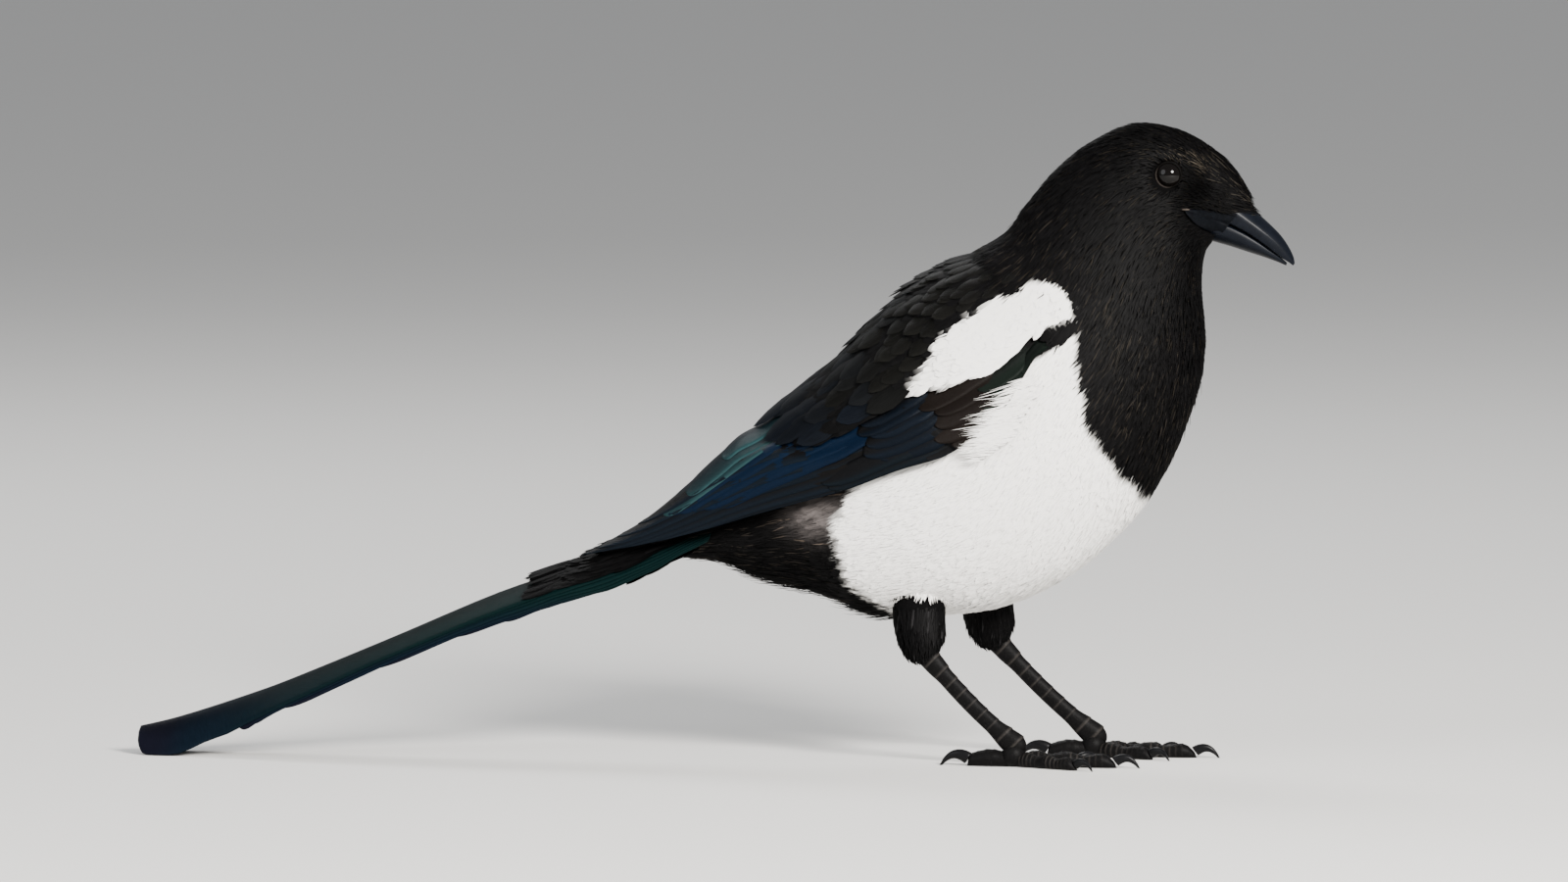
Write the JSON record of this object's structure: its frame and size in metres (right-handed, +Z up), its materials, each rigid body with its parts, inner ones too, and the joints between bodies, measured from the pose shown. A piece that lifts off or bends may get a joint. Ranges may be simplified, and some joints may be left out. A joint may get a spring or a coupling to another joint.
{
  "type": "bird model",
  "caption": "Life-size standing Eurasian magpie with folded wings, long graduated tail and curved claws, as a still museum model.",
  "frame": {"origin": "on the ground under the middle of the whole bird's bounding box", "axes": "+X towards the bill, +Y to the bird's left, +Z up"},
  "size_m": [0.4082, 0.089, 0.225],
  "materials": {
    "black_feather": "silky black body feathers",
    "white_feather": "soft matt white body feathers",
    "flight_feather": "smooth feathers with a blue gloss",
    "tail_feather": "smooth feathers with a green and blue gloss",
    "bill": "dark blue-grey horn with a satin gloss",
    "claw": "glossy black horn",
    "eye": "wet, very dark brown",
    "leg": "scaled black skin with a low sheen"
  },
  "bodies": {
    "root": {"head": "black_feather", "neck": "black_feather", "breast": "black_feather", "back": "black_feather", "vent": "black_feather", "mantle": "black_feather", "belly": "white_feather", "scapulars_right": "white_feather", "wing_right": "flight_feather", "eye_right": "eye", "thigh_right": "black_feather", "tarsus_right": "leg", "toe_middle_right": "leg", "claw_middle_right": "claw", "toe_inner_right": "leg", "claw_inner_right": "claw", "toe_outer_right": "leg", "claw_outer_right": "claw", "toe_hind_right": "leg", "claw_hind_right": "claw", "scapulars_left": "white_feather", "wing_left": "flight_feather", "eye_left": "eye", "thigh_left": "black_feather", "tarsus_left": "leg", "toe_middle_left": "leg", "claw_middle_left": "claw", "toe_inner_left": "leg", "claw_inner_left": "claw", "toe_outer_left": "leg", "claw_outer_left": "claw", "toe_hind_left": "leg", "claw_hind_left": "claw", "tail": "tail_feather", "bill_upper": "bill", "bill_lower": "bill"}
  },
  "joints": []
}
